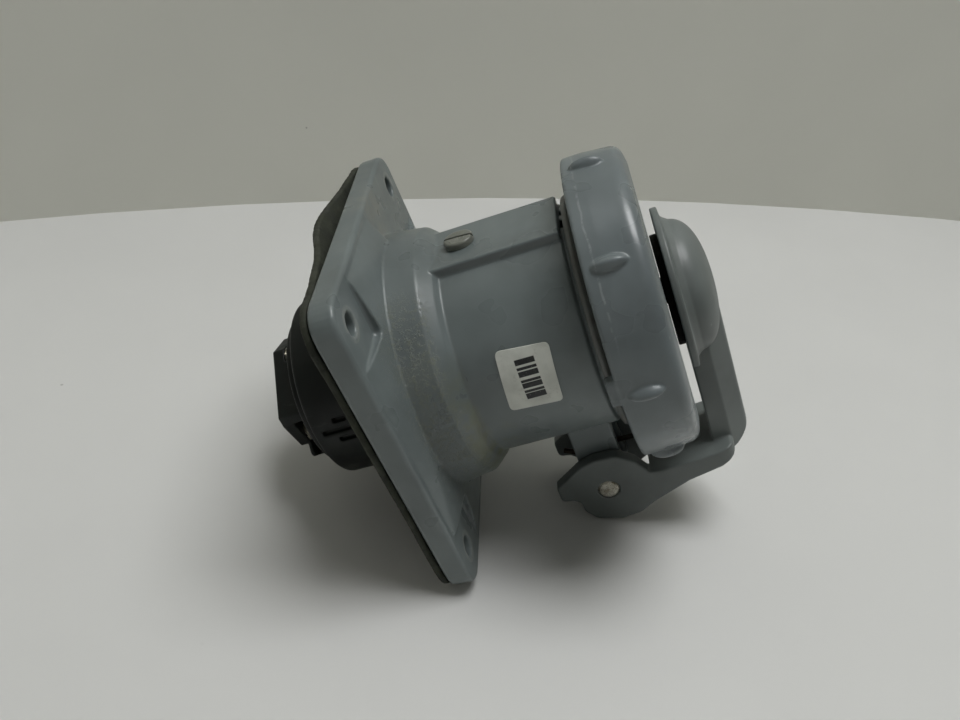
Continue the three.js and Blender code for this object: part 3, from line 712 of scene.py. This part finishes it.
def collar_threads():
    """The coarse thread on the mouth: a ridge of true pitch wound 2.4 times round the collar."""
    pitch, turns, facets = 3.2, 2.4, 96
    section = ((34.7, -1.2), (36.3, -0.42), (36.5, 0.0), (36.3, 0.42), (34.7, 1.2))
    bm = bmesh.new()
    rows = []
    count = int(turns * facets)
    for step in range(count + 1):
        angle = math.tau * step / facets
        taper = min(1.0, step / 12, (count - step) / 12)
        out = 63.2 + pitch * step / facets
        rows.append([
            bm.verts.new((
                (34.6 + (r - 34.6) * taper) * math.sin(angle), -(out + w),
                (34.6 + (r - 34.6) * taper) * math.cos(angle)))
            for r, w in section
        ])
    for row, other in zip(rows, rows[1:]):
        for k in range(len(section)):
            n = (k + 1) % len(section)
            bm.faces.new((row[k], row[n], other[n], other[k]))
    bm.faces.new(rows[0])
    bm.faces.new(rows[-1][::-1])
    made = keep(bm, "threads")
    made.data.shade_smooth()
    return finished(made, "collar_thread", "housing_body", "housing", cast_paint)


def gasket():
    """A thin sheet that has sprung away from the flange along its top edge."""
    (low, high), (back, front), _ = extent("flange_gasket")
    sheet = forward(rectangle(low, high, low, high, 9), back + 0.3, front, 0.3)
    cuts = [bar(HOLE_RADIUS + 0.4, -10, 5, (sx * HOLE_AT, sz * HOLE_AT)) for sx, sz in quarter_signs()]
    without(sheet, bar(33, -10, 5, facets=144), *cuts)
    cast(sheet, 0.6, 3)
    for vertex in sheet.data.vertices:
        x, y, z = vertex.co
        lift = max(0.0, min(1.0, (z - 30) / 20)) ** 1.4
        bulge = 6.2 * math.exp(-((x - 8) / 21) ** 2) * lift
        wave = noise.noise(Vector((x, z, 3)) / 16) * 0.5 + noise.noise(Vector((x, z, 9)) / 5) * 0.16
        edge = max(abs(x), abs(z)) / high
        vertex.co.y = y + bulge + max(0, wave) * edge ** 4
    ragged(sheet, high)
    return finished(sheet, "flange_gasket_sheet", "housing_body", "flange_gasket", cork)


def ragged(sheet, half):
    """Frays the outer edge of a sheet by a few tenths of a millimetre."""
    for vertex in sheet.data.vertices:
        x, y, z = vertex.co
        if max(abs(x), abs(z)) > half - 2:
            pull = noise.noise(Vector((x, z, 20)) / 2.5) * 0.35
            vertex.co.x -= math.copysign(abs(pull), x) if abs(x) > half - 2 else 0
            vertex.co.z -= math.copysign(abs(pull), z) if abs(z) > half - 2 else 0


# --------------------------------------------------------------------------------- insulator, contacts

POLES = (205, 325, 85)
CONTACT_CIRCLE, PIN_RADIUS, PIN_TIP = 12.8, 3, 66
TIES = (-20.5, 20.5)


def polar(angle, radius):
    """The point (x, z) at an angle round the axis, in degrees from +X towards +Z."""
    turn = math.radians(angle)
    return radius * math.cos(turn), radius * math.sin(turn)


def towards(obj, angle):
    """Turns a solid made with its outer side towards +Z to an angle round the axis."""
    return spun(obj, 90 - angle)


def rear_insulator():
    drum = lathe([
        (0, -28.2), (24, -28.2, 0.6), (24, -25), (28, -25, 1), (28, 0), (31, 0), (31, 4), (28, 4), (28, 14.6),
        (0, 14.6)], 240)
    corners = []
    for pole in POLES:
        for lead, radius in ((-41, 19.2), (-30, 18.6), (5, 17.6)):
            corners.append((*polar(pole + lead, radius), 0.7))
    block = forward(outline(corners), -37.5, -28, 0.5)
    for turn in (237, 357):
        union(block, towards(forward(rectangle(-8.5, 8.5, 8, 20, 2), -34.8, -28, 0.4), turn))
    cuts = []
    for pole in POLES:
        notch = outline([polar(pole, 7), polar(pole - 43, 60), polar(pole + 27, 60)])
        cuts.append(forward(notch, -33.6, -28.2))
    without(block, *cuts)
    cuts = []
    for pole in POLES:
        for turn, back, front in ((-36, -17.5, -13.5), (-29, -22, -13), (-22, -18, -12)):
            cuts.append(towards(forward(rectangle(-0.8, 0.8, 26.5, 40), back, front), pole + turn))
        at = polar(pole, CONTACT_CIRCLE)
        cuts += [bar(3.1, -60, 60, at), bar(3.9, -60, -23.7, at)]
    cuts += [bar(2.1, -12.5, 60, (x, 0)) for x in TIES]
    made = without(union(drum, block), *cuts)
    cast(made, 0.4, 2)
    return finished(made, "rear_insulator_block", "housing_body", "rear_insulator", phenolic)


def front_insulator():
    disc = lathe([(0, 14.8), (28, 14.8), (28, 35.6, 1.2), (0, 35.6)])
    cuts = [lathe([(0, 32.6), (6, 32.6), (6, 40), (0, 40)])]
    for pole in POLES:
        at = polar(pole, CONTACT_CIRCLE)
        cuts += [bar(3.1, 0, 60, at), bar(4.0, 0, 17.8, at)]
    for x in TIES:
        cuts += [bar(2.1, 0, 60, (x, 0)), bar(3.8, 33, 60, (x, 0))]
    cuts.append(upright_bar(2.5, 24, 60, SCREW_OUT))
    made = bevelled(without(disc, *cuts), 0.35)
    return finished(made, "front_insulator_face", "housing_body", "front_insulator", phenolic)


def slotted(radius, head_radius, head_height, tip, top, slot, facets=64):
    """A slotted cheese-head screw along Y, its head facing forward."""
    neck = top - head_height
    blank = lathe([
        (0, tip), (radius - 0.4, tip), (radius, tip + 0.6), (radius, neck), (head_radius, neck, 0.2),
        (head_radius, top, head_height * 0.42), (0, top + 0.12),
    ], facets)
    return without(blank, forward(rectangle(-20, 20, -slot / 2, slot / 2), top - head_height * 0.55, top + 9))


def contacts():
    for i, pole in enumerate(POLES, 1):
        x, z = polar(pole, CONTACT_CIRCLE)
        pin = lathe([
            (0, -36.5), (3.8, -36.5, 0.5), (3.8, -24), (PIN_RADIUS, -24), (PIN_RADIUS, 14.9), (3.8, 14.9),
            (3.8, 17.5), (PIN_RADIUS, 17.5), (PIN_RADIUS, PIN_TIP, 2), (0, PIN_TIP)], 72)
        out = -31
        without(
            pin, bar(2, -37.5, -25.5), cross_bar(1.35, 0, 20, out, 0), cross_bar(2.1, 2.75, 20, out, 0))
        bevelled(pin, 0.12, 2)
        screw = slotted(1.3, 2, 1.5, 0.6, 4.3, 0.7)
        moved(screw, Matrix.Translation((0, -out, 0)) @ Matrix.Rotation(math.pi / 2, 4, "Z"))
        bevelled(screw, 0.1, 2)
        place = Matrix.Translation((x, 0, z)) @ Matrix.Rotation(-math.radians(pole), 4, "Y")
        moved(pin, place)
        moved(screw, place)
        finished(pin, f"contact_{i}", "housing_body", f"contact_pin_{i}", silvered)
        finished(
            screw, f"contact_screw_{i}", "housing_body", f"terminal_screw_{i}", spring_steel)
    for i, x in enumerate(TIES, 1):
        tie = moved(bevelled(slotted(2, 3.6, 2.2, -12, 35.3, 0.9), 0.12, 2), Matrix.Translation((x, 0, 0)))
        finished(tie, f"insulator_tie_{i}", "housing_body", f"insulator_screw_{i}", plated)


# --------------------------------------------------------------------------------------- small parts

def rail_screw():
    screw = slotted(2.4, 4.4, 2, 24.5, 36.1, 0.9)
    bevelled(screw, 0.3, 3)
    moved(screw, Matrix.Rotation(-math.pi / 2, 4, "X"))
    moved(screw, Matrix.Translation((0, -SCREW_OUT, 0)) @ Matrix.Rotation(math.radians(84), 4, "Z"))
    return finished(screw, "rail_screw_head", "housing_body", "rail_screw", screw_paint)


def hinge_pin():
    reach = extent("hinge_pin")[0][1]
    pin = lathe([
        (0, -reach - 0.15), (2.9, -reach), (3.48, -reach + 0.5, 0.2), (3.48, reach - 0.5, 0.2), (2.9, reach),
        (0, reach + 0.15)], 96)
    moved(pin, Matrix.Translation((0, -PIN_OUT, PIN_Z)) @ Matrix.Rotation(-math.pi / 2, 4, "Z"))
    pin.data.shade_smooth()
    pin.data.set_sharp_from_angle(angle=math.radians(30))
    return finished(pin, "hinge_pin_rod", "housing_body", "hinge_pin", plated)


def spring():
    """The torsion spring's wire: three turns round the pin, from a leg on the housing to a leg on the arm."""
    wire, coil, half = 0.9, 5.6, 3.3
    rear, front, start, end, turns = 15.5, 16.6, math.radians(62), math.radians(90), 3
    sweep = math.tau * turns + start - end
    wound = sweep * coil
    total = rear + wound + front
    steps, sides = 420, 12
    path = []
    for step in range(steps + 1):
        along = total * step / steps - rear
        on_coil = max(0.0, min(wound, along))
        leg = along - on_coil
        turn = start - on_coil / coil
        path.append(Vector((
            -half + 2 * half * on_coil / wound,
            -(PIN_OUT + coil * math.cos(turn) + leg * math.sin(turn)),
            PIN_Z + coil * math.sin(turn) - leg * math.cos(turn))))
    bm = bmesh.new()
    rings = []
    for i, point in enumerate(path):
        along = (path[min(i + 1, steps)] - path[max(i - 1, 0)]).normalized()
        side = (Vector((1, 0, 0)) - along * along.x).normalized()
        up = along.cross(side)
        radius = wire * (0.8 if i in (0, steps) else 1)
        rings.append([
            bm.verts.new(point + (side * math.cos(a) + up * math.sin(a)) * radius)
            for a in (math.tau * k / sides for k in range(sides))
        ])
    for ring, other in zip(rings, rings[1:]):
        for k in range(sides):
            n = (k + 1) % sides
            bm.faces.new((ring[k], ring[n], other[n], other[k]))
    bm.faces.new(rings[0])
    bm.faces.new(rings[-1][::-1])
    made = keep(bm, "spring")
    made.data.shade_smooth()
    finished(made, "hinge_spring_wire", None, "hinge_spring", spring_steel)
    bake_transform(made)
    return made


def label():
    back, front, low, high, tilt = 34.6, 49.4, -3.6, 14.3, 4
    inner = BODY_RADIUS + 0.12
    tube = lathe([(inner, 30), (inner + 0.22, 30), (inner + 0.22, 55), (inner, 55)], 720)
    wide, tall = (front - back) / 2, (high - low) / 2
    patch = sideways(outline([
        (-wide, -tall, 1.6), (wide, -tall, 1.6), (wide, tall, 1.6), (-wide, tall, 1.6)], 10), -60, 0)
    centre = ((front + back) / 2, (high + low) / 2)
    moved(patch, Matrix.Translation((0, -centre[0], centre[1])) @ Matrix.Rotation(math.radians(tilt), 4, "X"))
    made = common(tube, patch)
    made.data.shade_smooth()
    made.data.set_sharp_from_angle(angle=math.radians(30))
    film = sticker("sticker", *centre, inner)
    return finished(made, "blank_label", "housing_body", "label", film)


# ----------------------------------------------------------------------------------------------- cap

CAP_BACK, CAP_FRONT = 64.2, 82
RIB_OUT, RIB_REACH, RIB_HALF, RIB_RISE = 71.2, 5.0, 2.1, 2.9


def screw_cap():
    valley, crest = 40.2, 38.7
    shell = lathe([
        (0, CAP_FRONT), (38.4, CAP_FRONT, 2), (44.1, 80.8, 4.2), (CAP_RADIUS, 70, 2),
        (CAP_RADIUS, CAP_BACK, 1.0), (valley, CAP_BACK, 0.7), (valley, 65.8), (crest, 66.6), (crest, 67.4),
        (valley, 68.2), (valley, 69.2), (crest, 70), (crest, 70.8), (valley, 71.6), (valley, 75.8, 1),
        (26, 75.8, 1), (24, 78.2, 1), (0, 78.2),
    ], 480)
    ribs = [spun(grip_rib(), 45 * i) for i in range(8)]
    tab = spun(forward(rectangle(-4, 4, CAP_RADIUS - 4.4, CAP_RADIUS - 0.3, 1.3), 61.8, 67, 0.4), -88)
    whole = without(union(shell, *ribs, tab), bar(4.1, 0, FAR))
    cast(whole, 0.5, 3)
    return finished(whole, "screw_cap_shell", "cap", "screw_cap", cap_paint)


def grip_rib():
    """A narrow crested ridge along the skirt, its ends rolled down into it."""
    bm = bmesh.new()
    bmesh.ops.create_uvsphere(bm, u_segments=32, v_segments=20, radius=1)
    for vertex in bm.verts:
        x, y, z = vertex.co
        along = math.copysign(abs(y) ** 0.85, y)
        across = math.copysign(abs(x) ** 1.25, x)
        vertex.co = (across * RIB_HALF, along * RIB_REACH - RIB_OUT, CAP_RADIUS - 0.8 + z * RIB_RISE)
    return keep(bm, "rib")


def cap_parts():
    seal = lathe([(27.5, 72.4, 0.5), (38, 72.4, 0.5), (38, 75.5, 0.3), (27.5, 75.5, 0.3)])
    seal.data.shade_smooth()
    seal.data.set_sharp_from_angle(angle=math.radians(40))
    stud = lathe([
        (0, 75.6), (8, 75.6, 1.6), (8, 77.9), (4, 77.9), (4, 88), (9, 88, 0.2), (9, 90.4, 1), (0, 90.4)], 96)
    bevelled(stud, 0.15, 2)
    washer = bevelled(lathe([(4.1, 86.9), (11.5, 86.9), (11.5, 87.8), (4.1, 87.8)], 96), 0.15, 2)
    finished(seal, "cap_seal_ring", "cap", "cap_seal", neoprene)
    finished(stud, "cap_swivel_stud", "cap", "cap_stud", plated)
    finished(washer, "cap_stud_washer", "cap", "stud_washer", plated)


# ----------------------------------------------------------------------------------------------- arm

EAR_HALF, FORK_HALF = 13.5, 9.4
ELBOW_OUT, UPRIGHT_HALF, UPRIGHT_BACK, UPRIGHT_FRONT = 90.3, 7.6, 84.3, 96.2
CUP_RADIUS = 16


def cover_arm():
    o, z = PIN_OUT, PIN_Z
    limb = outline([
        (32.4, -53.8, 1.6), (o - 6.6, z + 11.8, 4), (o - 1.4, z + 13.4, 4), (o + 5.6, z + 13.2, 5),
        (o + 11.1, z + 8.9, 2), (o + 14.2, z + 3.5, 1.5), (66, -56.3, 2), (84, -54.5, 2),
        (ELBOW_OUT, -53.4, 1.6), (ELBOW_OUT, -57.4, 3.4), (85.2, -60.7, 3), (74, -63.4, 3), (62, -68.6, 4),
        (o + 7.6, z - 13.1, 5), (o + 1.1, z - 14.1, 5), (o - 6.9, z - 11.5, 4), (o - 10, z - 7.4, 3),
        (o - 10.2, z - 3.1, 2), (o - 12.2, z - 1.5, 1.5), (32.4, -59.8, 1.8)], 8)
    plan = upwards(outline([
        (-EAR_HALF, 0), (EAR_HALF, 0), (EAR_HALF, ELBOW_OUT, 5), (-EAR_HALF, ELBOW_OUT, 5)], 12), -FAR, 0)
    lower = common(sideways(limb, -EAR_HALF, EAR_HALF, 0.7), plan)
    fork = sideways(rectangle(0, o + 14.6, -FAR, 0, 1), -FORK_HALF, FORK_HALF)
    side = outline([
        (UPRIGHT_BACK, -54), (UPRIGHT_BACK, 6), (UPRIGHT_FRONT, 6), (UPRIGHT_FRONT, -59.4, 8),
        (85.3, -59.4, 2)], 10)
    plan = outline([
        (-UPRIGHT_HALF, UPRIGHT_BACK, 0.6), (UPRIGHT_HALF, UPRIGHT_BACK, 0.6), (UPRIGHT_HALF, 90.2, 0.8),
        (2.6, UPRIGHT_FRONT, 2.4), (-2.6, UPRIGHT_FRONT, 2.4), (-UPRIGHT_HALF, 90.2, 0.8)], 6)
    upright = common(sideways(side, -UPRIGHT_HALF, UPRIGHT_HALF), upwards(plan, -70, 10))
    corners = [(0, UPRIGHT_BACK), (24, UPRIGHT_BACK, 0.3), (24, 86.3, 0.5), (21.0, 86.6, 1.6)]
    for k in range(25):
        t = k / 24
        r = 19.6 * (1 - t) ** 3 + 18.8 * 3 * t * (1 - t) ** 2 + 12.2 * 3 * t * t * (1 - t)
        out = 88.6 * (1 - t) ** 3 + 93.7 * 3 * t * (1 - t) ** 2 + 96.5 * (3 * t * t * (1 - t) + t ** 3)
        corners.append((r, out))
    dome = lathe(corners, 240)
    whole = union(without(lower, fork), upright, dome)
    cup = bar(CUP_RADIUS, 79.3, 92, facets=96)
    without(whole, cup, cross_bar(3.56, -FAR, FAR, o, z))
    cast(whole, 0.4, 4)
    return finished(whole, "cover_arm_casting", "arm", "cover_arm", arm_paint)


def stud_retainer():
    step = (16.6, CAP_FRONT + 0.2, 0.5), (16.6, 84.2), (CUP_RADIUS - 0.1, 84.2), (CUP_RADIUS - 0.1, 86.7)
    plate = bevelled(lathe([(4.08, CAP_FRONT + 0.2), *step, (4.08, 86.7)], 144), 0.2, 2)
    # the retainer takes the near-black metal as painted shade for the gap behind the dome
    return finished(plate, "stud_retainer_plate", "arm", "stud_retainer", gap_shade_metal)


screw_paint = paint("screw_paint", srgb(106, 108, 100))
housing()
collar_threads()
gasket()
rear_insulator()
front_insulator()
contacts()
rail_screw()
hinge_pin()
spring()
label()
screw_cap()
cap_parts()
cover_arm()
stud_retainer()


# --------------------------------------------------------------------------------- stage and camera

WEIGHT_OUT = 12           # a point between the flange's foot and the arm, over which the object balances
VIEW_ALONG = (0.93, 0.291, 0)
FAR_EDGE, EDGE_BOW = 0.222, 2.4
NEAR_EDGE, NEAR_HALF = 1.4, 2.2
WALL_HALF, WALL_HEIGHT, WALL_PARTS = 1.6, 1.2, 24
SINK = 0.135


def resting_plane():
    """(lowest back point, lowest front point) as (out, z) in millimetres of the plane the object lies on."""
    points = set()
    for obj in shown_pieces():
        for vertex in obj.data.vertices:
            x, y, z = vertex.co
            if z < ORIGIN.z - 0.03:
                points.add((round(-y / MM, 2), round(z / MM, 2)))
    under = []
    for point in sorted(points):
        while len(under) > 1:
            (ax, az), (bx, bz) = under[-2], under[-1]
            if (bx - ax) * (point[1] - az) - (bz - az) * (point[0] - ax) > 0:
                break
            under.pop()
        under.append(point)
    middle = WEIGHT_OUT - ORIGIN.y / MM
    for (ax, az), (bx, bz) in zip(under, under[1:]):
        if ax < middle < bx:
            return (ax, az), (bx, bz)
    raise RuntimeError("the object has no line to rest on")


def stage_material(name, tone, rough):
    """Pale matt board; it vanishes when seen from behind so that it never hides the object."""
    look = Look(name)
    colour = look.mix(look.fade(look.grain(90, 3), 0.3, 0.7), [c * 0.97 for c in tone], tone)
    fleck = look.times(look.fade(look.cells(23), 0.015, 0.03, 1, 0), look.fade(look.grain(60, 2), 0.52, 0.6))
    colour = look.mix(look.times(fleck, 0.5), colour, srgb(120, 118, 112))
    material = look.done(colour, rough, look.bump(look.grain(0.8, 3), 0.08, 0.1))
    clear = look.add("ShaderNodeBsdfTransparent")
    choose = look.add("ShaderNodeMixShader")
    look.link(look.add("ShaderNodeNewGeometry").outputs["Backfacing"], choose.inputs[0])
    look.link(look.shader.outputs[0], choose.inputs[1])
    look.link(clear.outputs[0], choose.inputs[2])
    end = look.tree.nodes["Material Output"]
    look.link(choose.outputs[0], end.inputs["Surface"])
    return material


def stage():
    """The board the object lies on and the wall behind it. Both drop clear of the arm as it opens."""
    (ax, az), (bx, bz) = resting_plane()
    along = Vector((0, -(bx - ax), bz - az)).normalized()
    normal = Vector((1, 0, 0)).cross(along)
    if normal.z < 0:
        normal = -normal
    origin = Vector((0, -ax, az)) * MM - normal * 0.0003
    heading = Vector(VIEW_ALONG)
    heading = (heading - normal * heading.dot(normal)).normalized()
    across = normal.cross(heading).normalized()
    holder = bpy.data.objects.new("stage_holder", None)
    SCENE.collection.objects.link(holder)
    holder.location = origin
    edge = []
    for k in range(-WALL_PARTS, WALL_PARTS + 1):
        aside = k / WALL_PARTS * WALL_HALF
        edge.append(heading * (FAR_EDGE - aside ** 2 / EDGE_BOW) + across * aside)
    board = bmesh.new()
    nearest = [board.verts.new(-heading * NEAR_EDGE + across * s * NEAR_HALF) for s in (-1, 1)]
    board.faces.new(nearest + [board.verts.new(at) for at in reversed(edge)])
    board = keep(board, "floor")
    wall = bmesh.new()
    foot = [wall.verts.new(at) for at in edge]
    top = [wall.verts.new(at + normal * WALL_HEIGHT) for at in edge]
    for k in range(len(edge) - 1):
        wall.faces.new((foot[k], foot[k + 1], top[k + 1], top[k]))
    wall = keep(wall, "backdrop")
    wall.data.shade_smooth()
    for obj, facing, material in (
        (board, normal, stage_material("board", srgb(215, 215, 213), 0.6)),
        (wall, -heading, stage_material("wall", srgb(225, 225, 216), 0.85)),
    ):
        if obj.data.polygons[len(obj.data.polygons) // 2].normal.dot(facing) < 0:
            obj.data.flip_normals()
        obj.data.materials.append(material)
        obj.parent = holder
        obj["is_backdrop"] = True
    return holder, origin, normal, heading, across


def drop_with_arm(holder, origin, normal):
    """The stage sinks along its normal as the arm turns, so an open cover never passes through it."""
    arm = frame["bodies"]["arm"]
    for axis in range(3):
        driver = holder.driver_add("location", axis).driver
        driver.type = "SCRIPTED"
        turn = driver.variables.new()
        turn.name = "turn"
        turn.type = "TRANSFORMS"
        turn.targets[0].id = arm
        turn.targets[0].transform_type = "ROT_X"
        turn.targets[0].transform_space = "WORLD_SPACE"
        sink = f"{normal[axis] * SINK:.6f} * sin(min(abs(turn), 1.5708))"
        driver.expression = f"{origin[axis]:.6f} - {sink}"


def area_light(name, at, aim, size, power, tint):
    data = bpy.data.lights.new(name, "AREA")
    data.shape = "RECTANGLE"
    data.size, data.size_y = size
    data.energy = power
    data.color = tint
    obj = bpy.data.objects.new(name, data)
    obj.location = at
    obj.rotation_mode = "QUATERNION"
    obj.rotation_quaternion = (Vector(aim) - Vector(at)).to_track_quat("-Z", "Y")
    SCENE.collection.objects.link(obj)
    return obj


def lights(normal, heading, across):
    """Soft overhead panels and a dim fill, with a dull world round them."""
    middle = ORIGIN + Vector((0, -0.03, 0))
    for name, up, along, aside, size, power, tint in (
        ("overhead", 1.1, 0.2, -0.22, (0.95, 0.65), 17.8, (0.985, 0.995, 1.0)),
        ("window", 0.75, 0.35, -1.1, (0.6, 0.8), 1.8, (0.95, 0.98, 1.0)),
        ("fill", 0.5, -1.2, 0.5, (1.2, 0.9), 0.45, (1.0, 1.0, 1.0)),
    ):
        at = middle + normal * up + heading * along + across * aside
        area_light(name, at, middle, size, power, tint)
    world = bpy.data.worlds.new("studio")
    SCENE.world = world
    world.use_nodes = True
    world.node_tree.nodes["Background"].inputs["Color"].default_value = (*srgb(196, 196, 188), 1)
    world.node_tree.nodes["Background"].inputs["Strength"].default_value = 0.17


def camera():
    """The viewing angle: above the flange's front and to one side of the mouth's axis."""
    data = bpy.data.cameras.new("camera")
    data.sensor_width = 36
    data.lens = 32.74
    data.clip_start = 0.005
    obj = bpy.data.objects.new("camera", data)
    at = ORIGIN + Vector((-221.94, -82.25, 138.23)) * MM
    back = -Vector((0.81816, 0.21919, -0.53158)).normalized()
    up = Vector((0.57426, -0.26454, 0.77476))
    right = up.cross(back).normalized()
    up = back.cross(right)
    turn = Matrix((right, up, back)).transposed()
    obj.matrix_world = Matrix.Translation(at) @ turn.to_4x4()
    SCENE.collection.objects.link(obj)
    SCENE.camera = obj


SCENE.view_settings.view_transform = "Standard"
holder, origin, normal, heading, across = stage()
drop_with_arm(holder, origin, normal)
lights(normal, heading, across)
camera()
